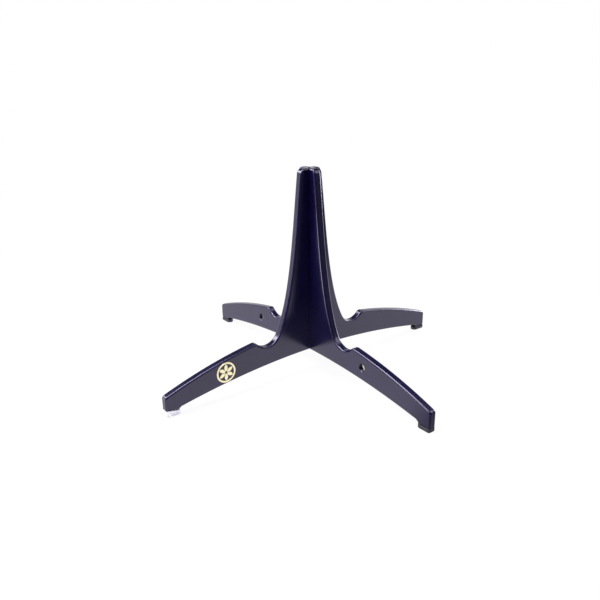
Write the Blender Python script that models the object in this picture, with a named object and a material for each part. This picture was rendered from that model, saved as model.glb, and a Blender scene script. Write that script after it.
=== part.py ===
"""Folding clarinet stand: four flat moulded leaves hinged like the pages of a book.

Each leaf is a curved leg that runs up into a tapered fin. Opened, the leaves stand in a cross, the four
fins make a column for the bell to go over, and the bell's rim rests in the four notches. Folded, all four
leaves lie side by side and small magnets hold them together.

Lengths are in millimetres and become metres where a mesh is made. A leaf is drawn in its own frame:
x runs out from the stand's axis along the leg, y is across the leaf's thickness, and z is up.
"""
import math

import bmesh
import bpy
from mathutils import Matrix, Vector
from mathutils.geometry import interpolate_bezier

MM = 0.001

# Whole stand
TIP_RADIUS = 115.0
COLUMN_HEIGHT = 141.1
LEAF_THICKNESS = 5.3
RIM_RADIUS = 1.1
RIM_STEPS = 3
SEAM = 0.35

# Leg: two long arcs, both centred on the stand's axis
LEG_TOP_HEIGHT = 34.25
LEG_TOP_RADIUS = 331.0
ARCH_HEIGHT = 14.35
ARCH_RADIUS = 551.0
ARCH_END = 104.0
LEG_STEPS = 16
ARCH_STEPS = 18
TIP_CORNER_RADIUS = 2.2
TIP_CORNER_STEPS = 5

# Notch for the rim of the bell, and the hump outside it
NOTCH_CENTRE_RADIUS = 37.7
NOTCH_CENTRE_HEIGHT = 37.0
NOTCH_RADIUS = 10.7
NOTCH_STEPS = 14
HUMP_RADIUS = 3.0
HUMP_STEPS = 6

# Fin: one cubic curve from the notch up to the top of the column
FIN_START_ANGLE = 27.8
FIN_LOWER_HANDLE = 28.5
FIN_UPPER_HANDLE = (12.6, 105.0)
FIN_TOP_RADIUS = 8.3
FIN_STEPS = 20
FIN_CORNER_RADIUS = 3.8
FIN_CORNER_STEPS = 6
FIN_CORNER_MARGIN = 1.0

# Soles and pads
SOLE_START = 106.0
SOLE_HEIGHT = 2.7
PAD_START = 104.6
PAD_WIDTH = 5.5
PAD_END_RADIUS = 1.2
PAD_INNER_STEPS = 10
PAD_CORNER_STEPS = 4
PAD_EDGE = 0.3
PAD_GAP = 0.2
WEDGE_INNER_HEIGHT = 3.2
WEDGE_TIP_HEIGHT = 4.7

# Hinges: barrels on the corner lines between neighbouring leaves
AXIS_OFFSET = (LEAF_THICKNESS + SEAM) / 2
BARREL_RADIUS = 2.2
BARREL_CLEARANCE = 0.3
BARREL_START = 17.5
BARREL_PITCH = 24.0
BARREL_COUNT = 5
BARREL_END_GAP = 0.2
CUT_END_GAP = 0.15
BORE_RADIUS = 1.1
BORE_TOP = 133.5
PIN_RADIUS = 0.8
PIN_CHAMFER = 0.25
PIN_START = 18.1
PIN_TOP = 133.2
PIN_SIDES = 20
ROUND_SIDES = 32

# How far a cutting solid runs past the face it opens
CUT_OVERRUN = 1.0

# Cosines above which a face counts as lying in a given plane or as an end face, the angle of a sharp edge in
# degrees, and the distance in metres within which points are one
IN_PLANE = 0.99
END_FACE = 0.5
SHARP_ANGLE = 35.0
SAME_POINT = 0.00001

# Magnets
MAGNET_RADIUS_OUT = 56.3
MAGNET_HEIGHT = 20.4
HOLE_RADIUS = 2.5
MAGNET_RADIUS = 2.3
MAGNET_RECESS = 1.6
MAGNET_LENGTH = LEAF_THICKNESS - 2 * MAGNET_RECESS
POCKET_SKIN = 1.0
MAGNET_EDGE = 0.2
THROUGH_HOLES = ("back_left", "front_right")

# Leaves in the order in which they are hinged together, with the heading of each leg
LEAVES = ("front_left", "back_left", "back_right", "front_right")
HEADINGS = {"front_left": 180.0, "back_left": 90.0, "back_right": 0.0, "front_right": -90.0}


def arc(centre, radius, start, end, steps):
    """Points on an arc, with both ends, angles in degrees."""
    points = []
    for i in range(steps + 1):
        angle = math.radians(start + (end - start) * i / steps)
        points.append(Vector((centre[0] + radius * math.cos(angle), centre[1] + radius * math.sin(angle))))
    return points


def bearing(centre, point):
    """Angle in degrees of the line from centre to point."""
    return math.degrees(math.atan2(point[1] - centre[1], point[0] - centre[0]))


def circle_meeting(centre_a, radius_a, centre_b, radius_b, side):
    """Where two circles cross, on the given side of the line from a to b."""
    a = Vector(centre_a)
    b = Vector(centre_b)
    gap = b - a
    along = (gap.length_squared + radius_a ** 2 - radius_b ** 2) / (2 * gap.length)
    across = math.sqrt(radius_a ** 2 - along ** 2)
    unit = gap.normalized()
    return a + unit * along + Vector((-unit.y, unit.x)) * across * side


def rounded_corner(before, corner, after, radius, steps):
    """Arc that replaces a corner between two straight lines."""
    corner = Vector(corner)
    to_before = (Vector(before) - corner).normalized()
    to_after = (Vector(after) - corner).normalized()
    half = to_before.angle(to_after) / 2
    centre = corner + (to_before + to_after).normalized() * radius / math.sin(half)
    start = corner + to_before * radius / math.tan(half)
    end = corner + to_after * radius / math.tan(half)
    first = bearing(centre, start)
    turn = (bearing(centre, end) - first + 180.0) % 360.0 - 180.0
    return arc(centre, radius, first, first + turn, steps)


def leg_arc(height, radius, start, end, steps):
    """Points on a long arc whose centre lies on the stand's axis, spaced evenly outwards."""
    points = []
    for i in range(steps + 1):
        out = start + (end - start) * i / steps
        points.append(Vector((out, height - radius + math.sqrt(radius ** 2 - out ** 2))))
    return points


def leaf_outline(sole_inner, sole_tip):
    """Side outline of a leaf, anticlockwise from the underside at the axis."""
    overrun = LEAF_THICKNESS
    underside = leg_arc(ARCH_HEIGHT, ARCH_RADIUS, 0.0, ARCH_END, ARCH_STEPS)
    sole = [Vector((SOLE_START, sole_inner)), Vector((TIP_RADIUS, sole_tip))]

    leg_centre = (0.0, LEG_TOP_HEIGHT - LEG_TOP_RADIUS)
    tip_corner = (TIP_RADIUS, leg_centre[1] + math.sqrt(LEG_TOP_RADIUS ** 2 - TIP_RADIUS ** 2))
    inward = leg_arc(LEG_TOP_HEIGHT, LEG_TOP_RADIUS, TIP_RADIUS - 2 * TIP_CORNER_RADIUS, TIP_RADIUS, 1)[0]
    tip = rounded_corner(sole[1], tip_corner, inward, TIP_CORNER_RADIUS, TIP_CORNER_STEPS)

    notch_centre = (NOTCH_CENTRE_RADIUS, NOTCH_CENTRE_HEIGHT)
    hump_centre = circle_meeting(
        notch_centre, NOTCH_RADIUS + HUMP_RADIUS, leg_centre, LEG_TOP_RADIUS - HUMP_RADIUS, 1)
    hump_start = bearing(leg_centre, hump_centre)
    hump_end = bearing(hump_centre, notch_centre)
    hump = arc(hump_centre, HUMP_RADIUS, hump_start, hump_end, HUMP_STEPS)
    leg_top = leg_arc(LEG_TOP_HEIGHT, LEG_TOP_RADIUS, tip[-1].x, hump[0].x, LEG_STEPS)

    notch_start = bearing(notch_centre, hump_centre)
    notch = arc(notch_centre, NOTCH_RADIUS, notch_start, FIN_START_ANGLE - 180.0, NOTCH_STEPS)

    fin_direction = math.radians(FIN_START_ANGLE)
    lower = notch[-1] + Vector((-math.sin(fin_direction), math.cos(fin_direction))) * FIN_LOWER_HANDLE
    fin_top = Vector((FIN_TOP_RADIUS, COLUMN_HEIGHT))
    upper = Vector(FIN_UPPER_HANDLE)
    corner = rounded_corner(upper, fin_top, (0.0, COLUMN_HEIGHT), FIN_CORNER_RADIUS, FIN_CORNER_STEPS)
    fin = []
    for point in interpolate_bezier(notch[-1], lower, upper, fin_top, FIN_STEPS + 1):
        if point.y < corner[0].y - FIN_CORNER_MARGIN:
            fin.append(Vector((point.x, point.y)))

    inner = [Vector((-overrun, COLUMN_HEIGHT)), Vector((-overrun, ARCH_HEIGHT))]
    return underside + sole + tip + leg_top[1:-1] + hump + notch[1:] + fin[1:] + corner + inner


def leaf_bmesh(outline):
    """Leaf plate with mitred inner end and rounded rims, in the leaf's own frame."""
    bm = bmesh.new()
    half = LEAF_THICKNESS / 2
    loop = [bm.verts.new((point.x * MM, -half * MM, point.y * MM)) for point in outline]
    face = bm.faces.new(loop)
    grown = bmesh.ops.extrude_face_region(bm, geom=[face])
    moved = [item for item in grown["geom"] if isinstance(item, bmesh.types.BMVert)]
    bmesh.ops.translate(bm, verts=moved, vec=(0.0, LEAF_THICKNESS * MM, 0.0))
    bmesh.ops.recalc_face_normals(bm, faces=bm.faces)

    mitre_normals = []
    for side in (1.0, -1.0):
        normal = Vector((-1.0, side, 0.0)).normalized()
        mitre_normals.append(normal)
        cut = bmesh.ops.bisect_plane(
            bm, geom=bm.verts[:] + bm.edges[:] + bm.faces[:], plane_co=-normal * SEAM / 2 * MM,
            plane_no=normal, clear_outer=True)
        rim = [item for item in cut["geom_cut"] if isinstance(item, bmesh.types.BMEdge)]
        bmesh.ops.edgeloop_fill(bm, edges=rim)
    bmesh.ops.recalc_face_normals(bm, faces=bm.faces)

    def flat_side(a_face):
        if abs(a_face.normal.y) > IN_PLANE:
            return True
        return any(a_face.normal.dot(normal) > IN_PLANE for normal in mitre_normals)

    rims = [edge for edge in bm.edges if sum(flat_side(f) for f in edge.link_faces) == 1]
    bmesh.ops.bevel(
        bm, geom=rims, offset=RIM_RADIUS * MM, offset_type="OFFSET", segments=RIM_STEPS, profile=0.5,
        affect="EDGES", clamp_overlap=True)
    bmesh.ops.remove_doubles(bm, verts=bm.verts, dist=SAME_POINT)
    bmesh.ops.recalc_face_normals(bm, faces=bm.faces)
    return bm


def add_cylinder(bm, x, y, bottom, top, radius, sides=ROUND_SIDES, chamfer=0.0):
    """Upright cylinder, with both end edges chamfered when asked."""
    height = top - bottom
    made = bmesh.ops.create_cone(
        bm, cap_ends=True, segments=sides, radius1=radius * MM, radius2=radius * MM, depth=height * MM,
        matrix=Matrix.Translation((x * MM, y * MM, (bottom + height / 2) * MM)))
    if chamfer:
        ends = set()
        for vert in made["verts"]:
            for edge in vert.link_edges:
                if abs(edge.verts[0].co.z - edge.verts[1].co.z) < SAME_POINT:
                    ends.add(edge)
        bmesh.ops.bevel(
            bm, geom=list(ends), offset=chamfer * MM, offset_type="OFFSET", segments=1, profile=0.5,
            affect="EDGES")


def add_crosswise_cylinder(bm, x, z, start, end, radius, chamfer=0.0):
    """Cylinder across the leaf's thickness, from y = start to y = end."""
    lying = bmesh.new()
    add_cylinder(lying, 0.0, 0.0, start, end, radius, ROUND_SIDES, chamfer)
    turn = Matrix.Translation((x * MM, 0.0, z * MM)) @ Matrix.Rotation(math.radians(-90.0), 4, "X")
    bmesh.ops.transform(lying, matrix=turn, verts=lying.verts)
    scratch = bpy.data.meshes.new("scratch")
    lying.to_mesh(scratch)
    lying.free()
    bm.from_mesh(scratch)
    bpy.data.meshes.remove(scratch)


def plastic(name, colour, roughness, metallic=0.0):
    """Principled material with one colour, given in linear light."""
    material = bpy.data.materials.new(name)
    material.use_nodes = True
    shader = material.node_tree.nodes["Principled BSDF"]
    shader.inputs["Base Color"].default_value = (*colour, 1.0)
    shader.inputs["Roughness"].default_value = roughness
    shader.inputs["Metallic"].default_value = metallic
    material.diffuse_color = (*colour, 1.0)
    return material


def add_object(name, bm, material, leaf_name, shift=(0.0, 0.0), parent=None):
    """Object drawn in a leaf's frame, with its origin moved to shift in that frame."""
    bmesh.ops.translate(bm, verts=bm.verts, vec=(-shift[0] * MM, -shift[1] * MM, 0.0))
    mesh = bpy.data.meshes.new(name)
    bm.to_mesh(mesh)
    bm.free()
    mesh.shade_smooth()
    mesh.set_sharp_from_angle(angle=math.radians(SHARP_ANGLE))
    if material:
        mesh.materials.append(material)
    obj = bpy.data.objects.new(name, mesh)
    bpy.context.scene.collection.objects.link(obj)
    heading = Matrix.Rotation(math.radians(HEADINGS[leaf_name]), 4, "Z")
    place = heading @ Matrix.Translation((shift[0] * MM, shift[1] * MM, 0.0))
    if parent:
        obj.parent = parent
        bpy.context.view_layer.update()
        obj.matrix_parent_inverse = parent.matrix_world.inverted()
    obj.matrix_world = place
    bpy.context.view_layer.update()
    return obj


def add_cutter(name, bm, leaf_name, target, operation):
    """Hidden operand and the Boolean on the target that uses it."""
    cutter = add_object(name, bm, None, leaf_name)
    cutter.hide_render = True
    cutter.display_type = "WIRE"
    boolean = target.modifiers.new(name, "BOOLEAN")
    boolean.object = cutter
    boolean.operation = operation
    boolean.solver = "EXACT"


def barrel_span(index):
    """Bottom and top of one place in the row of hinge barrels."""
    bottom = BARREL_START + BARREL_PITCH * index
    return bottom, bottom + BARREL_PITCH


def add_hinge_side(target, leaf_name, side, places):
    """Clear the other leaf's barrels from a corner of the leaf, then add its own barrels and their bore."""
    edge = side * AXIS_OFFSET
    cuts = bmesh.new()
    barrels = bmesh.new()
    bores = bmesh.new()
    for index in range(BARREL_COUNT):
        bottom, top = barrel_span(index)
        if index in places:
            add_cylinder(
                barrels, AXIS_OFFSET, edge, bottom + BARREL_END_GAP, top - BARREL_END_GAP, BARREL_RADIUS)
        else:
            add_cylinder(
                cuts, AXIS_OFFSET, edge, bottom - CUT_END_GAP, top + CUT_END_GAP,
                BARREL_RADIUS + BARREL_CLEARANCE)
    add_cylinder(bores, AXIS_OFFSET, edge, BARREL_START - CUT_OVERRUN, BORE_TOP, BORE_RADIUS)
    label = "left" if side > 0 else "right"
    add_cutter(f"{leaf_name}_{label}_clearance", cuts, leaf_name, target, "DIFFERENCE")
    add_cutter(f"{leaf_name}_{label}_barrels", barrels, leaf_name, target, "UNION")
    add_cutter(f"{leaf_name}_{label}_bore", bores, leaf_name, target, "DIFFERENCE")


def pad_bmesh(inner_height, tip_height):
    """Foot pad: rounded inner end, flat bottom, and a top that follows the sole."""
    half = PAD_WIDTH / 2
    inner_end = arc((PAD_START + half, 0.0), half, 270.0, 90.0, PAD_INNER_STEPS)
    end_centre = TIP_RADIUS - PAD_END_RADIUS
    left_corner = arc((end_centre, half - PAD_END_RADIUS), PAD_END_RADIUS, 90.0, 0.0, PAD_CORNER_STEPS)
    right_corner = arc((end_centre, PAD_END_RADIUS - half), PAD_END_RADIUS, 0.0, -90.0, PAD_CORNER_STEPS)
    bm = bmesh.new()
    outline = inner_end + left_corner + right_corner
    loop = [bm.verts.new((point.x * MM, point.y * MM, 0.0)) for point in outline]
    face = bm.faces.new(loop)
    grown = bmesh.ops.extrude_face_region(bm, geom=[face])
    for item in grown["geom"]:
        if isinstance(item, bmesh.types.BMVert):
            share = (item.co.x / MM - SOLE_START) / (TIP_RADIUS - SOLE_START)
            height = inner_height + (tip_height - inner_height) * share
            item.co.z = (height - PAD_GAP) * MM
    bmesh.ops.recalc_face_normals(bm, faces=bm.faces)
    ends = [edge for edge in bm.edges if sum(abs(f.normal.z) > END_FACE for f in edge.link_faces) == 1]
    bmesh.ops.bevel(
        bm, geom=ends, offset=PAD_EDGE * MM, offset_type="OFFSET", segments=1, profile=0.5, affect="EDGES")
    bmesh.ops.recalc_face_normals(bm, faces=bm.faces)
    return bm


def add_magnet(leaf, leaf_name, material):
    """Disc magnet and its hole across the leaf; a blind pocket opens on the leaf's hidden face."""
    half = LEAF_THICKNESS / 2
    deepest = half - POCKET_SKIN - SEAM
    if leaf_name in THROUGH_HOLES:
        hole_ends = (-half - CUT_OVERRUN, half + CUT_OVERRUN)
        first_end = -MAGNET_LENGTH / 2
    elif leaf_name == "front_left":
        hole_ends = (-half - CUT_OVERRUN, half - POCKET_SKIN)
        first_end = deepest - MAGNET_LENGTH
    else:
        hole_ends = (POCKET_SKIN - half, half + CUT_OVERRUN)
        first_end = -deepest
    hole = bmesh.new()
    add_crosswise_cylinder(hole, MAGNET_RADIUS_OUT, MAGNET_HEIGHT, *hole_ends, HOLE_RADIUS)
    add_cutter(f"{leaf_name}_magnet_hole", hole, leaf_name, leaf, "DIFFERENCE")
    magnet = bmesh.new()
    last_end = first_end + MAGNET_LENGTH
    add_crosswise_cylinder(
        magnet, MAGNET_RADIUS_OUT, MAGNET_HEIGHT, first_end, last_end, MAGNET_RADIUS, MAGNET_EDGE)
    add_object(f"magnet_{leaf_name}", magnet, material, leaf_name, (0.0, 0.0), leaf)


def build():
    """Make every piece of the stand."""
    for old in list(bpy.data.objects):
        bpy.data.objects.remove(old, do_unlink=True)

    black = plastic("black_moulded_plastic", (0.012, 0.010, 0.020), 0.38)
    rubber = plastic("black_rubber", (0.015, 0.015, 0.016), 0.85)
    pale_rubber = plastic("pale_silicone", (0.75, 0.72, 0.86), 0.55)
    steel = plastic("steel_pin", (0.55, 0.55, 0.57), 0.25, 1.0)
    nickel = plastic("nickel_plated_magnet", (0.70, 0.68, 0.63), 0.18, 1.0)

    parent = None
    for order, name in enumerate(LEAVES):
        wedge = name == "front_left"
        inner_height = WEDGE_INNER_HEIGHT if wedge else SOLE_HEIGHT
        tip_height = WEDGE_TIP_HEIGHT if wedge else SOLE_HEIGHT

        # The leaf turns on the corner line that it shares with the leaf before it
        shift = (AXIS_OFFSET, AXIS_OFFSET) if parent else (0.0, 0.0)
        plate = leaf_bmesh(leaf_outline(inner_height, tip_height))
        leaf = add_object(f"leaf_{name}", plate, black, name, shift, parent)
        if parent:
            add_hinge_side(leaf, name, 1.0, (1, 3))
        if order < len(LEAVES) - 1:
            add_hinge_side(leaf, name, -1.0, (0, 2, 4))
            pin = bmesh.new()
            pin_place = (AXIS_OFFSET, -AXIS_OFFSET)
            add_cylinder(pin, *pin_place, PIN_START, PIN_TOP, PIN_RADIUS, PIN_SIDES, PIN_CHAMFER)
            add_object(f"hinge_pin_{name}", pin, steel, name, pin_place, leaf)

        add_magnet(leaf, name, nickel)
        pad = pad_bmesh(inner_height, tip_height)
        add_object(f"foot_pad_{name}", pad, pale_rubber if wedge else rubber, name, (0.0, 0.0), leaf)
        parent = leaf


build()
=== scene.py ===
"""Folding clarinet stand on a white studio sweep.

Four leaves moulded in violet-black ABS stand in a cross. Each is a curved leg that runs up into a tapered
fin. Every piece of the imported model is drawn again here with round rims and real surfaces, in its own place.

Lengths are millimetres and become metres where a mesh is made. A leaf is drawn in its own frame: x runs out
along the leg from the stand's axis, y is across the leaf's thickness, and z is up.
"""
import math

import bmesh
import bpy
from mathutils import Matrix, Vector
from mathutils.geometry import interpolate_bezier


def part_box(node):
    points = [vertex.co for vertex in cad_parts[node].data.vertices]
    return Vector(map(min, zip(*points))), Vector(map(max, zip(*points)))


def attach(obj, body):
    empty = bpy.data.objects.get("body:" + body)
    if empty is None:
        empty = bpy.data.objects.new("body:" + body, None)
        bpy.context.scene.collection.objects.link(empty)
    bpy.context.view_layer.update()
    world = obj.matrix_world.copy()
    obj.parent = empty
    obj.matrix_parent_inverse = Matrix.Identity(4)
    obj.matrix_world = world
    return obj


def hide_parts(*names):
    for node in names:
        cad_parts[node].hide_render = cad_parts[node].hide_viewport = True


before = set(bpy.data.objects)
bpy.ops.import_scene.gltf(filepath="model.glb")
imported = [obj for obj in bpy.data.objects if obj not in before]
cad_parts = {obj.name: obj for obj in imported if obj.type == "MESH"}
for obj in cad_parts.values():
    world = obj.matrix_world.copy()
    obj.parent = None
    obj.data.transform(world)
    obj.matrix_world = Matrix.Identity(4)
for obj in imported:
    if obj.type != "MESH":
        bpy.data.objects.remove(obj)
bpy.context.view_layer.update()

MM = 0.001

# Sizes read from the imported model
LEAF_LOW, LEAF_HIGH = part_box("leaf_front_left")
TIP_RADIUS = -LEAF_LOW[0] / MM
COLUMN_HEIGHT = LEAF_HIGH[2] / MM
LEAF_THICKNESS = -2 * LEAF_LOW[1] / MM
PIN_LOW, PIN_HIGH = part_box("hinge_pin_back_left")
AXIS_OFFSET = (PIN_LOW[0] + PIN_HIGH[0]) / 2 / MM
PIN_RADIUS = (PIN_HIGH[0] - PIN_LOW[0]) / 2 / MM
PAD_LOW, PAD_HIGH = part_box("foot_pad_back_right")
PAD_START = PAD_LOW[0] / MM
PAD_WIDTH = (PAD_HIGH[1] - PAD_LOW[1]) / MM
MAGNET_LOW, MAGNET_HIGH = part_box("magnet_front_right")
MAGNET_RADIUS_OUT = -(MAGNET_LOW[1] + MAGNET_HIGH[1]) / 2 / MM
MAGNET_HEIGHT = (MAGNET_LOW[2] + MAGNET_HIGH[2]) / 2 / MM
MAGNET_RADIUS = (MAGNET_HIGH[2] - MAGNET_LOW[2]) / 2 / MM
MAGNET_LENGTH = (MAGNET_HIGH[0] - MAGNET_LOW[0]) / MM

# Leaf
SEAM = 2 * AXIS_OFFSET - LEAF_THICKNESS
MITRE_GAP = 0.12
FREE_EDGE = 1.0
FREE_EDGE_STEPS = 4
RIM_RADIUS = 1.2
RIM_STEPS = 8
LEG_TOP_HEIGHT = 34.25
LEG_TOP_RADIUS = 331.0
ARCH_HEIGHT = 14.35
ARCH_RADIUS = 551.0
ARCH_END = 104.0
ARCH_STEPS = 20
LEG_STEPS = 40
TIP_CORNER_RADIUS = 2.2
CORNER_STEPS = 10
SOLE_START = 106.0
SOLE_HEIGHT = 2.7
WEDGE_INNER_HEIGHT = 3.2
WEDGE_TIP_HEIGHT = 4.7

# Notch and hump
NOTCH_CENTRE = (37.7, 37.0)
NOTCH_RADIUS = 10.7
NOTCH_STEPS = 32
HUMP_RADIUS = 3.0

# Fin
FIN_START_ANGLE = 27.8
FIN_LOWER_HANDLE = 28.5
FIN_UPPER_HANDLE = (12.6, 105.0)
FIN_TOP_RADIUS = 8.3
FIN_STEPS = 48
FIN_CORNER_RADIUS = 3.8
FIN_CORNER_MARGIN = 0.4

# Parting line where the two halves of the mould met, along the middle of every rim
PARTING_WIDTH = 0.3
PARTING_DEPTH = 0.05

# Hinge barrels
BARREL_RADIUS = 2.2
BARREL_CLEARANCE = 0.3
BARREL_EDGE = 0.35
BARREL_START = 17.5
BARREL_PITCH = 24.0
BARREL_COUNT = 5
BARREL_END_GAP = 0.2
CUT_END_GAP = 0.15
BORE_RADIUS = 1.1
BORE_TOP = 133.5
PIN_EDGE = 0.3
ROUND_SIDES = 48
ROD_EDGE_STEPS = 5

# Barrels of one hinge, counted from below: the leaf nearer the end of the chain has the odd ones
BARRELS_TO_LEAF_BEFORE = (1, 3)
BARRELS_TO_LEAF_AFTER = (0, 2, 4)

# Magnet holes
HOLE_RADIUS = 2.5
HOLE_LIP = 0.25
MAGNET_EDGE = 0.25
POCKET_SKIN = 1.0
THROUGH_HOLES = ("back_left", "front_right")

# Foot pads
PAD_EDGE = 0.4
PAD_EDGE_STEPS = 4
PAD_END_RADIUS = 1.2
PAD_GAP = 0.2

# Gold rosette on the front left leg: a ring round six petals
ROSETTE_RADIUS_OUT = 71.3
ROSETTE_HEIGHT = 18.0
ROSETTE_RADIUS = 7.0
ROSETTE_RING = 1.15
PETAL_LENGTH = 5.6
PETAL_WIDTH = 2.3
PETAL_ROOT = 0.75
PETALS = 6
ROSETTE_THICKNESS = 0.28
ROSETTE_EDGE = 0.07
ROSETTE_EDGE_STEPS = 2
ROSETTE_STEPS = 72
PETAL_STEPS = 14

# Making of the meshes. IN_PLANE and END_FACE are the least part of a face's normal that lies along the
# direction asked for.
CUT_OVERRUN = 1.0
IN_PLANE = 0.99
END_FACE = 0.5
ROUND_PROFILE = 0.5
SHARP_ANGLE = 38.0
SAME_POINT = 0.001 * MM

LEAVES = ("front_left", "back_left", "back_right", "front_right")
HEADINGS = {"front_left": 180.0, "back_left": 90.0, "back_right": 0.0, "front_right": -90.0}
FREE_SIDES = {"front_left": 1.0, "front_right": -1.0}


# Outlines

def arc(centre, radius, start, end, steps):
    """Points on an arc, with both ends, angles in degrees."""
    points = []
    for i in range(steps + 1):
        angle = math.radians(start + (end - start) * i / steps)
        points.append(Vector((centre[0] + radius * math.cos(angle), centre[1] + radius * math.sin(angle))))
    return points


def bearing(centre, point):
    """Angle in degrees of the line from centre to point."""
    return math.degrees(math.atan2(point[1] - centre[1], point[0] - centre[0]))


def circle_meeting(centre_a, radius_a, centre_b, radius_b):
    """Where two circles cross, left of the line from a to b."""
    a = Vector(centre_a)
    gap = Vector(centre_b) - a
    along = (gap.length_squared + radius_a ** 2 - radius_b ** 2) / (2 * gap.length)
    across = math.sqrt(radius_a ** 2 - along ** 2)
    unit = gap.normalized()
    return a + unit * along + Vector((-unit.y, unit.x)) * across


def rounded_corner(before, corner, after, radius):
    """Arc that replaces a corner between two straight lines."""
    corner = Vector(corner)
    to_before = (Vector(before) - corner).normalized()
    to_after = (Vector(after) - corner).normalized()
    half = to_before.angle(to_after) / 2
    centre = corner + (to_before + to_after).normalized() * radius / math.sin(half)
    first = bearing(centre, corner + to_before * radius / math.tan(half))
    last = bearing(centre, corner + to_after * radius / math.tan(half))
    turn = (last - first + 180.0) % 360.0 - 180.0
    return arc(centre, radius, first, first + turn, CORNER_STEPS)


def leg_arc(height, radius, start, end, steps):
    """Points on a long arc whose centre lies on the stand's axis, spaced evenly outwards."""
    points = []
    for i in range(steps + 1):
        out = start + (end - start) * i / steps
        points.append(Vector((out, height - radius + math.sqrt(radius ** 2 - out ** 2))))
    return points


def leaf_outline(sole_inner, sole_tip):
    """Side outline of a leaf, anticlockwise from the underside at the axis."""
    underside = leg_arc(ARCH_HEIGHT, ARCH_RADIUS, 0.0, ARCH_END, ARCH_STEPS)
    sole = [Vector((SOLE_START, sole_inner)), Vector((TIP_RADIUS, sole_tip))]

    leg_centre = (0.0, LEG_TOP_HEIGHT - LEG_TOP_RADIUS)
    tip_corner = (TIP_RADIUS, leg_centre[1] + math.sqrt(LEG_TOP_RADIUS ** 2 - TIP_RADIUS ** 2))
    inward = leg_arc(LEG_TOP_HEIGHT, LEG_TOP_RADIUS, TIP_RADIUS - 2 * TIP_CORNER_RADIUS, TIP_RADIUS, 1)[0]
    tip = rounded_corner(sole[1], tip_corner, inward, TIP_CORNER_RADIUS)

    hump_centre = circle_meeting(
        NOTCH_CENTRE, NOTCH_RADIUS + HUMP_RADIUS, leg_centre, LEG_TOP_RADIUS - HUMP_RADIUS)
    hump_start = bearing(leg_centre, hump_centre)
    hump_end = bearing(hump_centre, NOTCH_CENTRE)
    hump = arc(hump_centre, HUMP_RADIUS, hump_start, hump_end, CORNER_STEPS)
    leg_top = leg_arc(LEG_TOP_HEIGHT, LEG_TOP_RADIUS, tip[-1].x, hump[0].x, LEG_STEPS)

    notch_start = bearing(NOTCH_CENTRE, hump_centre)
    notch = arc(NOTCH_CENTRE, NOTCH_RADIUS, notch_start, FIN_START_ANGLE - 180.0, NOTCH_STEPS)

    fin_direction = math.radians(FIN_START_ANGLE)
    lower = notch[-1] + Vector((-math.sin(fin_direction), math.cos(fin_direction))) * FIN_LOWER_HANDLE
    upper = Vector(FIN_UPPER_HANDLE)
    fin_top = Vector((FIN_TOP_RADIUS, COLUMN_HEIGHT))
    corner = rounded_corner(upper, fin_top, (0.0, COLUMN_HEIGHT), FIN_CORNER_RADIUS)
    fin = []
    for point in interpolate_bezier(notch[-1], lower, upper, fin_top, FIN_STEPS + 1):
        if point.y < corner[0].y - FIN_CORNER_MARGIN:
            fin.append(Vector((point.x, point.y)))

    inner = [Vector((-LEAF_THICKNESS, COLUMN_HEIGHT)), Vector((-LEAF_THICKNESS, ARCH_HEIGHT))]
    return underside + sole + tip + leg_top[1:-1] + hump + notch[1:] + fin[1:] + corner + inner


# Meshes

def extruded(points, place, direction):
    """Closed prism from a flat loop of points, each turned into space by place, swept along direction."""
    bm = bmesh.new()
    face = bm.faces.new([bm.verts.new(place(point)) for point in points])
    grown = bmesh.ops.extrude_face_region(bm, geom=[face])
    far_end = [item for item in grown["geom"] if isinstance(item, bmesh.types.BMVert)]
    bmesh.ops.translate(bm, verts=far_end, vec=direction)
    bmesh.ops.recalc_face_normals(bm, faces=bm.faces)
    return bm


def turned(profile):
    """Solid of revolution about Z; the profile starts and ends on the axis as (radius, height)."""
    bm = bmesh.new()
    rings = []
    for radius, height in profile:
        count = ROUND_SIDES if radius else 1
        ring = []
        for i in range(count):
            angle = 2 * math.pi * i / count
            place = (radius * math.cos(angle) * MM, radius * math.sin(angle) * MM, height * MM)
            ring.append(bm.verts.new(place))
        rings.append(ring)
    for below, above in zip(rings, rings[1:]):
        for i in range(ROUND_SIDES):
            j = (i + 1) % ROUND_SIDES
            loop = [below[i % len(below)], below[j % len(below)]]
            loop += [above[j % len(above)], above[i % len(above)]]
            # A ring of one point on the axis gives a triangle, so each corner counts once
            bm.faces.new(list(dict.fromkeys(loop)))
    bmesh.ops.recalc_face_normals(bm, faces=bm.faces)
    return bm


def rounded_rod(radius, bottom, top, edge):
    """Profile of a rod whose two end edges are rounded."""
    angles = [math.pi / 2 * i / ROD_EDGE_STEPS for i in range(ROD_EDGE_STEPS + 1)]
    lower = [(radius - edge + edge * math.sin(angle), bottom + edge - edge * math.cos(angle))
             for angle in angles]
    upper = [(radius - edge + edge * math.cos(angle), top - edge + edge * math.sin(angle))
             for angle in angles]
    return [(0.0, bottom)] + lower + upper + [(0.0, top)]


def moved(bm, matrix):
    """The same mesh, moved by the matrix."""
    bmesh.ops.transform(bm, matrix=matrix, verts=bm.verts)
    return bm


def upright(x, y):
    """Matrix that stands a turned shape at x, y."""
    return Matrix.Translation((x * MM, y * MM, 0.0))


def crosswise(x, z):
    """Matrix that lays a turned shape across the leaf at x, z."""
    return Matrix.Translation((x * MM, 0.0, z * MM)) @ Matrix.Rotation(math.radians(-90.0), 4, "X")


def add_mesh(name, bm):
    """Object from a mesh, drawn where its numbers say."""
    mesh = bpy.data.meshes.new(name)
    bm.to_mesh(mesh)
    bm.free()
    obj = bpy.data.objects.new(name, mesh)
    bpy.context.scene.collection.objects.link(obj)
    return obj


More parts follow.
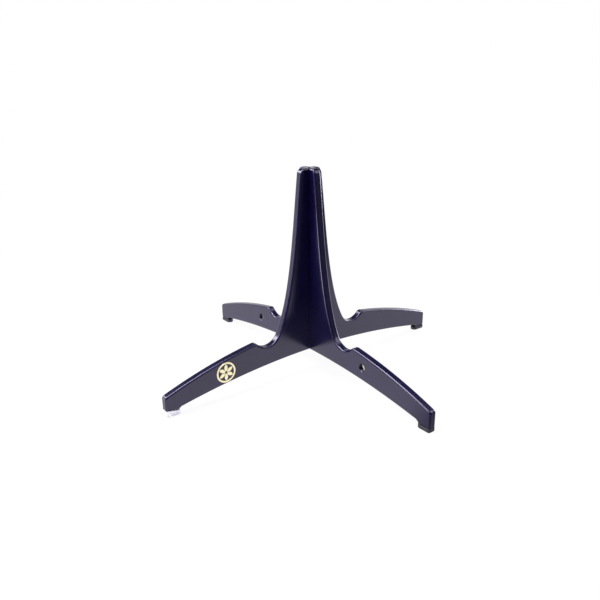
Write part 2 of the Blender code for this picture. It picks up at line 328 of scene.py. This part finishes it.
def shape_with(target, bm, operation):
    """Cut a tool from the target or join it on, and keep the result as the target's mesh."""
    tool = add_mesh("tool", bm)
    boolean = target.modifiers.new("tool", "BOOLEAN")
    boolean.object = tool
    boolean.operation = operation
    boolean.solver = "EXACT"
    bpy.context.view_layer.update()
    shaped = bpy.data.meshes.new_from_object(target.evaluated_get(bpy.context.evaluated_depsgraph_get()))
    target.modifiers.clear()
    old_mesh = target.data
    tool_mesh = tool.data
    target.data = shaped
    bpy.data.objects.remove(tool)
    bpy.data.meshes.remove(tool_mesh)
    bpy.data.meshes.remove(old_mesh)
    shaped.name = target.name


def finish_piece(obj, leaf_name, material, nodes):
    """Weld a piece, turn it from its leaf's frame to its heading, smooth it, and tie it to its body."""
    bm = bmesh.new()
    bm.from_mesh(obj.data)
    bmesh.ops.remove_doubles(bm, verts=bm.verts, dist=SAME_POINT)
    bm.to_mesh(obj.data)
    bm.free()
    obj.data.transform(Matrix.Rotation(math.radians(HEADINGS[leaf_name]), 4, "Z"))
    obj.data.shade_smooth()
    obj.data.set_sharp_from_angle(angle=math.radians(SHARP_ANGLE))
    normals = obj.modifiers.new("face_weighted_normals", "WEIGHTED_NORMAL")
    normals.keep_sharp = True
    obj.data.materials.clear()
    obj.data.materials.append(material)
    if nodes:
        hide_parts(*nodes)
    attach(obj, leaf_name)


# Materials

WHITE = "#ffffff"

# Most of a noise texture's values lie between these two, which become the ends of a range of gloss
NOISE_LOW = 0.3
NOISE_HIGH = 0.7

# Sizes in mm of the grain, clouds and lines in each material
ABS_GRAIN = 0.7
ABS_FLOW = 14.0
RUBBER_GRAIN = 0.5
RUBBER_DUST = 2.5
SILICONE_GRAIN = 0.6
SILICONE_CLOUD = 3.0
STEEL_LINE = 0.12
NICKEL_HAZE = 0.8
GOLD_BRUSHING = 0.25

# How far a line is drawn out: its width over its length
STEEL_DRAW = 0.02
GOLD_DRAW = 0.06


def srgb(code):
    """Linear RGBA from a hex colour such as "#28223c"."""
    linear = []
    for i in (1, 3, 5):
        value = int(code[i:i + 2], 16) / 255
        linear.append(value / 12.92 if value <= 0.04045 else ((value + 0.055) / 1.055) ** 2.4)
    return (*linear, 1.0)


def add_node(tree, kind, inputs=None, **settings):
    """Add a node; an input is a value or another node's output."""
    node = tree.nodes.new(kind)
    for name, value in settings.items():
        setattr(node, name, value)
    for name, value in (inputs or {}).items():
        if isinstance(value, bpy.types.NodeSocket):
            tree.links.new(value, node.inputs[name])
        else:
            node.inputs[name].default_value = value
    return node


def new_material(name):
    """Empty node material and its tree."""
    material = bpy.data.materials.new(name)
    material.use_nodes = True
    material.node_tree.nodes.clear()
    return material, material.node_tree


def per_mm(size):
    """Texture scale, in features per metre, for a feature of the given size in millimetres."""
    return 1 / (size * MM)


def moulded_abs():
    """Violet-black ABS from a spark-eroded mould: satin, with a fine even grain and faint flow clouds."""
    material, tree = new_material("moulded_abs")
    place = add_node(tree, "ShaderNodeTexCoord").outputs["Object"]

    # Grain of the eroded steel. The real one is about 0.1 mm, drawn at 0.7 mm so that it shows.
    grain = add_node(tree, "ShaderNodeTexNoise", {"Vector": place, "Scale": per_mm(ABS_GRAIN), "Detail": 3.0})
    bump = add_node(tree, "ShaderNodeBump", {
        "Height": grain.outputs["Fac"], "Strength": 0.10, "Distance": 0.04 * MM})

    # Flow clouds from filling the mould, about 14 mm across, change the gloss and the depth of the black
    flow = add_node(tree, "ShaderNodeTexNoise", {"Vector": place, "Scale": per_mm(ABS_FLOW), "Detail": 4.0})
    tint = add_node(tree, "ShaderNodeValToRGB", {"Fac": flow.outputs["Fac"]})
    tint.color_ramp.elements[0].position = 0.35
    tint.color_ramp.elements[0].color = srgb("#030125")
    tint.color_ramp.elements[1].position = 0.65
    tint.color_ramp.elements[1].color = srgb("#05032b")
    gloss = add_node(tree, "ShaderNodeMapRange", {
        "Value": flow.outputs["Fac"], "From Min": NOISE_LOW, "From Max": NOISE_HIGH,
        "To Min": 0.19, "To Max": 0.24})
    shader = add_node(tree, "ShaderNodeBsdfPrincipled", {
        "Base Color": tint.outputs["Color"], "Roughness": gloss.outputs["Result"], "IOR": 1.54,
        "Specular IOR Level": 0.78, "Specular Tint": (0.86, 0.8, 1.0, 1.0), "Normal": bump.outputs["Normal"]})
    add_node(tree, "ShaderNodeOutputMaterial", {"Surface": shader.outputs["BSDF"]})
    return material


def moulded_rubber():
    """Black nitrile rubber pad: dull, with a coarse grain and a trace of dust in it."""
    material, tree = new_material("moulded_nitrile_rubber")
    place = add_node(tree, "ShaderNodeTexCoord").outputs["Object"]
    grain = add_node(tree, "ShaderNodeTexNoise", {
        "Vector": place, "Scale": per_mm(RUBBER_GRAIN), "Detail": 4.0})
    bump = add_node(tree, "ShaderNodeBump", {
        "Height": grain.outputs["Fac"], "Strength": 0.35, "Distance": 0.06 * MM})
    dust = add_node(tree, "ShaderNodeTexNoise", {
        "Vector": place, "Scale": per_mm(RUBBER_DUST), "Detail": 6.0})
    tint = add_node(tree, "ShaderNodeValToRGB", {"Fac": dust.outputs["Fac"]})
    tint.color_ramp.elements[0].position = 0.45
    tint.color_ramp.elements[0].color = srgb("#302e37")
    tint.color_ramp.elements[1].position = 0.75
    tint.color_ramp.elements[1].color = srgb("#403d49")
    shader = add_node(tree, "ShaderNodeBsdfPrincipled", {
        "Base Color": tint.outputs["Color"], "Roughness": 0.72, "IOR": 1.52,
        "Normal": bump.outputs["Normal"]})
    add_node(tree, "ShaderNodeOutputMaterial", {"Surface": shader.outputs["BSDF"]})
    return material


def moulded_silicone():
    """Pale lavender-white silicone pad: soft satin, slightly clouded."""
    material, tree = new_material("moulded_silicone")
    place = add_node(tree, "ShaderNodeTexCoord").outputs["Object"]
    cloud = add_node(tree, "ShaderNodeTexNoise", {
        "Vector": place, "Scale": per_mm(SILICONE_CLOUD), "Detail": 3.0})
    tint = add_node(tree, "ShaderNodeValToRGB", {"Fac": cloud.outputs["Fac"]})
    tint.color_ramp.elements[0].position = 0.35
    tint.color_ramp.elements[0].color = srgb("#f3f1fa")
    tint.color_ramp.elements[1].position = 0.65
    tint.color_ramp.elements[1].color = srgb("#f8f7fd")
    grain = add_node(tree, "ShaderNodeTexNoise", {
        "Vector": place, "Scale": per_mm(SILICONE_GRAIN), "Detail": 2.0})
    bump = add_node(tree, "ShaderNodeBump", {
        "Height": grain.outputs["Fac"], "Strength": 0.12, "Distance": 0.04 * MM})
    shader = add_node(tree, "ShaderNodeBsdfPrincipled", {
        "Base Color": tint.outputs["Color"], "Roughness": 0.5, "IOR": 1.41, "Normal": bump.outputs["Normal"]})
    add_node(tree, "ShaderNodeOutputMaterial", {"Surface": shader.outputs["BSDF"]})
    return material


def drawn_steel():
    """Bright drawn steel wire: fine lines along the wire."""
    material, tree = new_material("drawn_steel_wire")
    place = add_node(tree, "ShaderNodeTexCoord").outputs["Object"]

    # Lines from the drawing die. The real ones are far finer, drawn at 0.12 mm so that they show.
    along = add_node(tree, "ShaderNodeMapping", {"Vector": place, "Scale": (1.0, 1.0, STEEL_DRAW)})
    lines = add_node(tree, "ShaderNodeTexNoise", {
        "Vector": along.outputs["Vector"], "Scale": per_mm(STEEL_LINE), "Detail": 2.0})
    gloss = add_node(tree, "ShaderNodeMapRange", {
        "Value": lines.outputs["Fac"], "From Min": NOISE_LOW, "From Max": NOISE_HIGH,
        "To Min": 0.2, "To Max": 0.36})
    shader = add_node(tree, "ShaderNodeBsdfPrincipled", {
        "Base Color": srgb("#b9b9bd"), "Metallic": 1.0, "Roughness": gloss.outputs["Result"]})
    add_node(tree, "ShaderNodeOutputMaterial", {"Surface": shader.outputs["BSDF"]})
    return material


def nickel_plate():
    """Barrel-plated nickel on the magnets: bright, warm grey, with a light tumbled haze."""
    material, tree = new_material("barrel_plated_nickel")
    place = add_node(tree, "ShaderNodeTexCoord").outputs["Object"]
    haze = add_node(tree, "ShaderNodeTexNoise", {
        "Vector": place, "Scale": per_mm(NICKEL_HAZE), "Detail": 5.0})
    gloss = add_node(tree, "ShaderNodeMapRange", {
        "Value": haze.outputs["Fac"], "From Min": NOISE_LOW, "From Max": NOISE_HIGH,
        "To Min": 0.1, "To Max": 0.2})
    shader = add_node(tree, "ShaderNodeBsdfPrincipled", {
        "Base Color": srgb("#d6d2c8"), "Metallic": 1.0, "Roughness": gloss.outputs["Result"]})
    add_node(tree, "ShaderNodeOutputMaterial", {"Surface": shader.outputs["BSDF"]})
    return material


def pale_gold():
    """Stamped brass with a pale gold plate: satin, lightly brushed along the leg."""
    material, tree = new_material("pale_gold_plated_brass")
    place = add_node(tree, "ShaderNodeTexCoord").outputs["Object"]
    along = add_node(tree, "ShaderNodeMapping", {"Vector": place, "Scale": (GOLD_DRAW, 1.0, 1.0)})
    brushing = add_node(tree, "ShaderNodeTexNoise", {
        "Vector": along.outputs["Vector"], "Scale": per_mm(GOLD_BRUSHING), "Detail": 2.0})
    gloss = add_node(tree, "ShaderNodeMapRange", {
        "Value": brushing.outputs["Fac"], "From Min": NOISE_LOW, "From Max": NOISE_HIGH,
        "To Min": 0.26, "To Max": 0.42})
    shader = add_node(tree, "ShaderNodeBsdfPrincipled", {
        "Base Color": srgb("#fff6cc"), "Metallic": 1.0, "Roughness": gloss.outputs["Result"]})
    add_node(tree, "ShaderNodeOutputMaterial", {"Surface": shader.outputs["BSDF"]})
    return material


# Pieces

def leaf_plate(outline, free_side):
    """Leaf plate with mitred inner end, round rims and the mould's parting line, in the leaf's own frame.

    The mitre on the free side meets its neighbour without a hinge, and its top edge is rounded.
    """
    half = LEAF_THICKNESS / 2
    bm = extruded(
        outline, lambda point: (point.x * MM, -half * MM, point.y * MM), (0.0, LEAF_THICKNESS * MM, 0.0))
    mitres = [Vector((-1.0, side, 0.0)).normalized() for side in (1.0, -1.0)]
    for normal in mitres:
        cut = bmesh.ops.bisect_plane(
            bm, geom=bm.verts[:] + bm.edges[:] + bm.faces[:], plane_co=-normal * MITRE_GAP / 2 * MM,
            plane_no=normal, clear_outer=True)
        rim = [item for item in cut["geom_cut"] if isinstance(item, bmesh.types.BMEdge)]
        bmesh.ops.edgeloop_fill(bm, edges=rim)
    bmesh.ops.recalc_face_normals(bm, faces=bm.faces)

    def on_mitre(face):
        return any(face.normal.dot(normal) > IN_PLANE for normal in mitres)

    def on_side(face):
        return abs(face.normal.y) > IN_PLANE

    rims = [edge for edge in bm.edges
            if sum(on_side(f) for f in edge.link_faces) == 1
            and not any(on_mitre(f) for f in edge.link_faces)]
    bmesh.ops.bevel(
        bm, geom=rims, offset=RIM_RADIUS * MM, offset_type="OFFSET", segments=RIM_STEPS,
        profile=ROUND_PROFILE, affect="EDGES", clamp_overlap=True)
    bmesh.ops.remove_doubles(bm, verts=bm.verts, dist=SAME_POINT)
    bm.normal_update()
    if free_side:
        free = mitres[0] if free_side > 0 else mitres[1]
        ends = [edge for edge in bm.edges
                if sum(face.normal.dot(free) > IN_PLANE for face in edge.link_faces) == 1
                and min(v.co.z for v in edge.verts) > (COLUMN_HEIGHT - RIM_RADIUS) * MM - SAME_POINT]
        bmesh.ops.bevel(
            bm, geom=ends, offset=FREE_EDGE * MM, offset_type="OFFSET", segments=FREE_EDGE_STEPS,
            profile=ROUND_PROFILE, affect="EDGES", clamp_overlap=True)
        bmesh.ops.remove_doubles(bm, verts=bm.verts, dist=SAME_POINT)

    for offset in (-PARTING_WIDTH / 2, 0.0, PARTING_WIDTH / 2):
        bmesh.ops.bisect_plane(
            bm, geom=bm.verts[:] + bm.edges[:] + bm.faces[:], plane_co=(0.0, offset * MM, 0.0),
            plane_no=(0.0, 1.0, 0.0), dist=SAME_POINT)
    bm.normal_update()
    for vert in bm.verts:
        if abs(vert.co.y) < SAME_POINT and not any(on_mitre(f) for f in vert.link_faces):
            vert.co -= vert.normal * PARTING_DEPTH * MM
    bmesh.ops.recalc_face_normals(bm, faces=bm.faces)
    return bm


def hinge_side(leaf, side, places):
    """Clear the other leaf's barrels from a corner of the leaf, then add its own barrels and their bore."""
    stand = upright(AXIS_OFFSET, side * AXIS_OFFSET)
    for index in range(BARREL_COUNT):
        bottom = BARREL_START + BARREL_PITCH * index
        top = bottom + BARREL_PITCH
        if index not in places:
            radius = BARREL_RADIUS + BARREL_CLEARANCE
            room = [(0.0, bottom - CUT_END_GAP), (radius, bottom - CUT_END_GAP)]
            room += [(radius, top + CUT_END_GAP), (0.0, top + CUT_END_GAP)]
            shape_with(leaf, moved(turned(room), stand), "DIFFERENCE")
    for index in places:
        bottom = BARREL_START + BARREL_PITCH * index + BARREL_END_GAP
        top = BARREL_START + BARREL_PITCH * (index + 1) - BARREL_END_GAP
        barrel = rounded_rod(BARREL_RADIUS, bottom, top, BARREL_EDGE)
        shape_with(leaf, moved(turned(barrel), stand), "UNION")
    bottom = BARREL_START - CUT_OVERRUN
    bore = [(0.0, bottom), (BORE_RADIUS, bottom), (BORE_RADIUS, BORE_TOP), (0.0, BORE_TOP)]
    shape_with(leaf, moved(turned(bore), stand), "DIFFERENCE")


def magnet_hole(leaf_name):
    """Cutter for the magnet's hole, with a small chamfer at each open mouth."""
    half = LEAF_THICKNESS / 2
    if leaf_name in THROUGH_HOLES:
        start = [(0.0, -half - CUT_OVERRUN), (HOLE_RADIUS + HOLE_LIP, -half - CUT_OVERRUN)]
        start += [(HOLE_RADIUS + HOLE_LIP, -half), (HOLE_RADIUS, HOLE_LIP - half)]
    else:
        start = [(0.0, POCKET_SKIN - half), (HOLE_RADIUS, POCKET_SKIN - half)]
    end = [(HOLE_RADIUS, half - HOLE_LIP), (HOLE_RADIUS + HOLE_LIP, half)]
    end += [(HOLE_RADIUS + HOLE_LIP, half + CUT_OVERRUN), (0.0, half + CUT_OVERRUN)]
    cutter = moved(turned(start + end), crosswise(MAGNET_RADIUS_OUT, MAGNET_HEIGHT))
    if leaf_name == "front_left":
        moved(cutter, Matrix.Scale(-1.0, 4, (0.0, 1.0, 0.0)))
        bmesh.ops.reverse_faces(cutter, faces=cutter.faces)
    return cutter


def magnet_disc(leaf_name):
    """Disc magnet with tumbled edges, against the pocket's floor or in the middle of a through hole."""
    first = -MAGNET_LENGTH / 2
    if leaf_name not in THROUGH_HOLES:
        first = POCKET_SKIN + SEAM - LEAF_THICKNESS / 2
    profile = rounded_rod(MAGNET_RADIUS, first, first + MAGNET_LENGTH, MAGNET_EDGE)
    disc = moved(turned(profile), crosswise(MAGNET_RADIUS_OUT, MAGNET_HEIGHT))
    if leaf_name == "front_left":
        moved(disc, Matrix.Scale(-1.0, 4, (0.0, 1.0, 0.0)))
        bmesh.ops.reverse_faces(disc, faces=disc.faces)
    return disc


def foot_pad(sole_inner, sole_tip):
    """Foot pad: rounded inner end, flat bottom, and a top that follows the sole."""
    half = PAD_WIDTH / 2
    end_centre = TIP_RADIUS - PAD_END_RADIUS
    outline = arc((PAD_START + half, 0.0), half, 270.0, 90.0, 2 * CORNER_STEPS)
    outline += arc((end_centre, half - PAD_END_RADIUS), PAD_END_RADIUS, 90.0, 0.0, CORNER_STEPS)
    outline += arc((end_centre, PAD_END_RADIUS - half), PAD_END_RADIUS, 0.0, -90.0, CORNER_STEPS)
    bm = extruded(outline, lambda point: (point.x * MM, point.y * MM, 0.0), (0.0, 0.0, MM))
    for vert in bm.verts:
        if vert.co.z > 0:
            share = (vert.co.x / MM - SOLE_START) / (TIP_RADIUS - SOLE_START)
            vert.co.z = (sole_inner + (sole_tip - sole_inner) * share - PAD_GAP) * MM
    bm.normal_update()
    ends = [edge for edge in bm.edges if sum(abs(f.normal.z) > END_FACE for f in edge.link_faces) == 1]
    bmesh.ops.bevel(
        bm, geom=ends, offset=PAD_EDGE * MM, offset_type="OFFSET", segments=PAD_EDGE_STEPS,
        profile=ROUND_PROFILE, affect="EDGES")
    bmesh.ops.recalc_face_normals(bm, faces=bm.faces)
    return bm


def rosette():
    """Gold ring round six petals, lying on the front left leg's outer face."""
    curve = bpy.data.curves.new("rosette", "CURVE")
    curve.dimensions = "2D"
    curve.fill_mode = "BOTH"
    curve.extrude = (ROSETTE_THICKNESS / 2 - ROSETTE_EDGE) * MM
    curve.bevel_depth = ROSETTE_EDGE * MM
    curve.bevel_resolution = ROSETTE_EDGE_STEPS
    loops = [
        arc((0.0, 0.0), ROSETTE_RADIUS - ROSETTE_EDGE, 0.0, 360.0, ROSETTE_STEPS)[:-1],
        arc((0.0, 0.0), ROSETTE_RADIUS - ROSETTE_RING, 0.0, 360.0, ROSETTE_STEPS)[:-1]]
    chord = PETAL_LENGTH - PETAL_ROOT
    radius = (chord ** 2 / 4 + PETAL_WIDTH ** 2 / 4) / PETAL_WIDTH
    spread = math.degrees(math.asin(chord / 2 / radius))
    middle = (PETAL_ROOT + PETAL_LENGTH) / 2
    sag = radius - PETAL_WIDTH / 2
    upper = arc((middle, -sag), radius, 90.0 - spread, 90.0 + spread, PETAL_STEPS)
    lower = arc((middle, sag), radius, 270.0 - spread, 270.0 + spread, PETAL_STEPS)
    for petal in range(PETALS):
        turn = Matrix.Rotation(math.radians(360.0 / PETALS * petal + 90.0), 2)
        loops.append([turn @ point for point in upper[:-1] + lower[:-1]])
    for loop in loops:
        spline = curve.splines.new("POLY")
        spline.points.add(len(loop) - 1)
        spline.use_cyclic_u = True
        for point, place in zip(spline.points, loop):
            point.co = (place.x * MM, place.y * MM, 0.0, 1.0)
    drawn = bpy.data.objects.new("rosette_curve", curve)
    bpy.context.scene.collection.objects.link(drawn)
    bpy.context.view_layer.update()
    mesh = bpy.data.meshes.new_from_object(drawn.evaluated_get(bpy.context.evaluated_depsgraph_get()))
    bpy.data.objects.remove(drawn)
    bpy.data.curves.remove(curve)
    mesh.name = "front_left_rosette"
    obj = bpy.data.objects.new(mesh.name, mesh)
    bpy.context.scene.collection.objects.link(obj)
    outward = (LEAF_THICKNESS + ROSETTE_THICKNESS) / 2
    stand = Matrix.Rotation(math.radians(-90.0), 4, "X")
    mesh.transform(Matrix.Translation((ROSETTE_RADIUS_OUT * MM, outward * MM, ROSETTE_HEIGHT * MM)) @ stand)
    return obj


def build_leaf(leaf_name, order, finishes):
    """One leaf with its pad, magnet and hinge pin."""
    wedge = leaf_name == "front_left"
    sole_inner = WEDGE_INNER_HEIGHT if wedge else SOLE_HEIGHT
    sole_tip = WEDGE_TIP_HEIGHT if wedge else SOLE_HEIGHT

    free_side = FREE_SIDES.get(leaf_name)
    leaf = add_mesh(f"{leaf_name}_leaf", leaf_plate(leaf_outline(sole_inner, sole_tip), free_side))
    if order > 0:
        hinge_side(leaf, 1.0, BARRELS_TO_LEAF_BEFORE)
    if order < len(LEAVES) - 1:
        hinge_side(leaf, -1.0, BARRELS_TO_LEAF_AFTER)
        low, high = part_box(f"hinge_pin_{leaf_name}")
        wire = rounded_rod(PIN_RADIUS, low[2] / MM, high[2] / MM, PIN_EDGE)
        pin = add_mesh(f"{leaf_name}_hinge_pin", moved(turned(wire), upright(AXIS_OFFSET, -AXIS_OFFSET)))
        finish_piece(pin, leaf_name, finishes["steel"], [f"hinge_pin_{leaf_name}"])
    shape_with(leaf, magnet_hole(leaf_name), "DIFFERENCE")
    finish_piece(leaf, leaf_name, finishes["abs"], [f"leaf_{leaf_name}"])

    magnet = add_mesh(f"{leaf_name}_magnet", magnet_disc(leaf_name))
    finish_piece(magnet, leaf_name, finishes["nickel"], [f"magnet_{leaf_name}"])

    pad = add_mesh(f"{leaf_name}_foot_pad", foot_pad(sole_inner, sole_tip))
    rubber = finishes["silicone"] if wedge else finishes["rubber"]
    finish_piece(pad, leaf_name, rubber, [f"foot_pad_{leaf_name}"])


finishes = {
    "abs": moulded_abs(),
    "rubber": moulded_rubber(),
    "silicone": moulded_silicone(),
    "steel": drawn_steel(),
    "nickel": nickel_plate(),
}
for order, leaf_name in enumerate(LEAVES):
    build_leaf(leaf_name, order, finishes)
finish_piece(rosette(), "front_left", pale_gold(), [])


# Studio. Lengths here are metres, and azimuth 0 is +X and 90 is +Y.

FLOOR_RADIUS = 3.0
FLOOR_SIDES = 96
PAPER_COLOUR = "#f2f2f2"

# The shadow shows with this share near the stand and fades out between the two distances from the axis
SHADOW_SHARE = 0.1
SHADOW_NEAR = 0.12
SHADOW_FAR = 0.45

# Front edge of the paper in reflections: its direction and distance from the axis, and how soft it is
PAPER_FRONT_AZIMUTH = 248.0
PAPER_FRONT = 0.085
PAPER_FRONT_BLUR = 0.03

# Backdrop in reflections: where it starts to end above the level, how softly, and its middle and soft sides
BACKDROP_TOP = 21.0
BACKDROP_EDGE = 5.0
BACKDROP_AZIMUTH = 51.5
BACKDROP_SIDE = 0.1

ROOM_LEVEL = 0.1
LAMP_COLOUR = "#f9f8ff"
SOFTBOX_DISTANCE = 1.0


def level_direction(azimuth):
    """Unit vector on the level."""
    return math.cos(math.radians(azimuth)), math.sin(math.radians(azimuth)), 0.0


def in_mirror_or_glass(tree, path):
    """1 for rays that a glossy or clear surface sends out, otherwise 0."""
    return add_node(tree, "ShaderNodeMath", {
        0: path["Is Glossy Ray"], 1: path["Is Transmission Ray"]}, operation="MAXIMUM").outputs[0]


def paper_sweep():
    """Matt white paper that shows as plain white, with the stand's soft shadow near the stand."""
    material, tree = new_material("white_paper_sweep")
    place = add_node(tree, "ShaderNodeTexCoord").outputs["Object"]
    path = add_node(tree, "ShaderNodeLightPath").outputs

    # Rays that should see the plain white sweep: camera, glossy and transmission rays
    mirrored = in_mirror_or_glass(tree, path)
    seen = add_node(
        tree, "ShaderNodeMath", {0: path["Is Camera Ray"], 1: mirrored}, operation="MAXIMUM")
    distance = add_node(tree, "ShaderNodeVectorMath", {0: place}, operation="LENGTH").outputs["Value"]
    plain = add_node(tree, "ShaderNodeMapRange", {
        "Value": distance, "From Min": SHADOW_NEAR, "From Max": SHADOW_FAR,
        "To Min": 1 - SHADOW_SHARE, "To Max": 1.0})
    share = add_node(
        tree, "ShaderNodeMath", {0: plain.outputs["Result"], 1: seen.outputs[0]}, operation="MULTIPLY")

    # To the camera the paper is white everywhere. In reflections it ends at its front edge, under the outer
    # end of the front right leg, and the dim room begins.
    forward = add_node(tree, "ShaderNodeVectorMath", {
        0: place, 1: level_direction(PAPER_FRONT_AZIMUTH)}, operation="DOT_PRODUCT").outputs["Value"]
    reach = add_node(tree, "ShaderNodeMapRange", {
        "Value": forward, "From Min": PAPER_FRONT, "From Max": PAPER_FRONT + PAPER_FRONT_BLUR,
        "To Min": 1.0, "To Max": ROOM_LEVEL})
    strength = add_node(
        tree, "ShaderNodeMath", {0: path["Is Camera Ray"], 1: reach.outputs["Result"]}, operation="MAXIMUM")
    paper = add_node(tree, "ShaderNodeBsdfDiffuse", {"Color": srgb(PAPER_COLOUR)})
    white = add_node(tree, "ShaderNodeEmission", {"Color": srgb(WHITE), "Strength": strength.outputs[0]})
    mixed = add_node(tree, "ShaderNodeMixShader", {
        "Fac": share.outputs[0], 1: paper.outputs["BSDF"], 2: white.outputs["Emission"]})
    add_node(tree, "ShaderNodeOutputMaterial", {"Surface": mixed.outputs["Shader"]})
    return material


def softbox(name, azimuth, elevation, width, height, radiance, distance=SOFTBOX_DISTANCE):
    """Rectangular softbox that faces the stand."""
    lamp = bpy.data.lights.new(name, "AREA")
    lamp.shape = "RECTANGLE"
    lamp.size = width
    lamp.size_y = height
    lamp.energy = radiance * math.pi * width * height
    lamp.color = srgb(LAMP_COLOUR)[:3]
    around, above = math.radians(azimuth), math.radians(elevation)
    towards = Vector((
        math.cos(above) * math.cos(around), math.cos(above) * math.sin(around), math.sin(above)))
    box = bpy.data.objects.new(name, lamp)
    box.location = towards * distance
    box.rotation_euler = towards.to_track_quat("Z", "Y").to_euler()
    box.visible_camera = False
    bpy.context.scene.collection.objects.link(box)


def table_panel(name, azimuth, distance, width, depth, radiance):
    """Light panel lying on the table with its light upwards, for the glints low on the stand."""
    softbox(name, azimuth, 0.0, width, depth, radiance, distance)
    panel = bpy.data.objects[name]
    panel.location.z = MM
    panel.rotation_euler = (math.pi, 0.0, math.radians(azimuth))


def backdrop_and_room():
    """World: a white backdrop behind the stand and a dim room around it."""
    world = bpy.data.worlds.new("studio")
    bpy.context.scene.world = world
    world.use_nodes = True
    tree = world.node_tree
    tree.nodes.clear()
    path = add_node(tree, "ShaderNodeLightPath").outputs

    # The white backdrop fills the camera's view. In reflections it ends at its top and sides, and the rest is
    # the dim room.
    direction = add_node(tree, "ShaderNodeTexCoord").outputs["Generated"]
    height = add_node(tree, "ShaderNodeSeparateXYZ", {"Vector": direction}).outputs["Z"]
    backdrop = add_node(tree, "ShaderNodeMapRange", {
        "Value": height, "From Min": math.sin(math.radians(BACKDROP_TOP)),
        "From Max": math.sin(math.radians(BACKDROP_TOP + BACKDROP_EDGE)), "To Min": 1.0, "To Max": 0.0})
    mirrored = in_mirror_or_glass(tree, path)
    behind = add_node(tree, "ShaderNodeVectorMath", {
        0: direction, 1: level_direction(BACKDROP_AZIMUTH)}, operation="DOT_PRODUCT").outputs["Value"]
    side = add_node(tree, "ShaderNodeMapRange", {
        "Value": behind, "From Min": -BACKDROP_SIDE, "From Max": BACKDROP_SIDE})
    area = add_node(tree, "ShaderNodeMath", {
        0: backdrop.outputs["Result"], 1: side.outputs["Result"]}, operation="MULTIPLY")
    in_gloss = add_node(
        tree, "ShaderNodeMath", {0: area.outputs[0], 1: mirrored}, operation="MULTIPLY")
    seen = add_node(
        tree, "ShaderNodeMath", {0: path["Is Camera Ray"], 1: in_gloss.outputs[0]}, operation="MAXIMUM")
    room = add_node(tree, "ShaderNodeBackground", {"Color": srgb(WHITE), "Strength": ROOM_LEVEL})
    white = add_node(tree, "ShaderNodeBackground", {"Color": srgb(WHITE), "Strength": 1.0})
    shown = add_node(tree, "ShaderNodeMixShader", {
        "Fac": seen.outputs[0], 1: room.outputs["Background"], 2: white.outputs["Background"]})
    add_node(tree, "ShaderNodeOutputWorld", {"Surface": shown.outputs["Shader"]})


def studio():
    """Floor, world and lamps."""
    bm = bmesh.new()
    bmesh.ops.create_circle(bm, cap_ends=True, segments=FLOOR_SIDES, radius=FLOOR_RADIUS)
    floor = add_mesh("floor", bm)
    floor.data.materials.append(paper_sweep())
    backdrop_and_room()

    softbox("overhead_softbox", azimuth=148, elevation=69, width=0.42, height=0.82, radiance=10.7)
    softbox("right_softbox", azimuth=354, elevation=11, width=0.5, height=0.38, radiance=13.0)
    softbox("front_right_softbox", azimuth=338, elevation=33, width=0.9, height=0.4, radiance=2.4)
    softbox("back_softbox", azimuth=128, elevation=36, width=0.4, height=0.4, radiance=12.0)
    softbox("left_softbox", azimuth=180, elevation=33, width=0.4, height=0.4, radiance=6.0)
    table_panel("left_table_panel", azimuth=158, distance=0.34, width=0.3, depth=0.2, radiance=6.0)
    softbox("front_ceiling_softbox", azimuth=295, elevation=58, width=1.0, height=0.4, radiance=1.7)


# Camera, fitted to the photograph's outlines. Lengths are millimetres again.

CAMERA_AZIMUTH = -38.538
CAMERA_ELEVATION = 26.067
CAMERA_DISTANCE = 484.1
CAMERA_LENS = 40.37
CAMERA_YAW = -0.843
CAMERA_PITCH = 5.552
CAMERA_ROLL = -0.182
CAMERA_CLIP_START = 10.0


def add_camera():
    """Camera that looks towards the stand's foot, then turned by yaw, pitch and roll."""
    azimuth = math.radians(CAMERA_AZIMUTH)
    elevation = math.radians(CAMERA_ELEVATION)
    back = Vector((
        math.sin(azimuth) * math.cos(elevation), -math.cos(azimuth) * math.cos(elevation),
        math.sin(elevation)))
    right = Vector((math.cos(azimuth), math.sin(azimuth), 0.0))
    aim = Matrix((right, back.cross(right), back)).transposed().to_4x4()
    turn = Matrix.Rotation(math.radians(-CAMERA_YAW), 4, "Y")
    tilt = Matrix.Rotation(math.radians(CAMERA_PITCH), 4, "X")
    roll = Matrix.Rotation(math.radians(CAMERA_ROLL), 4, "Z")
    data = bpy.data.cameras.new("camera")
    data.lens = CAMERA_LENS
    data.clip_start = CAMERA_CLIP_START * MM
    camera = bpy.data.objects.new("camera", data)
    bpy.context.scene.collection.objects.link(camera)
    camera.matrix_world = Matrix.Translation(back * CAMERA_DISTANCE * MM) @ aim @ turn @ tilt @ roll
    bpy.context.scene.camera = camera


studio()
add_camera()
bpy.context.scene.view_settings.view_transform = "Standard"

bpy.context.view_layer.update()
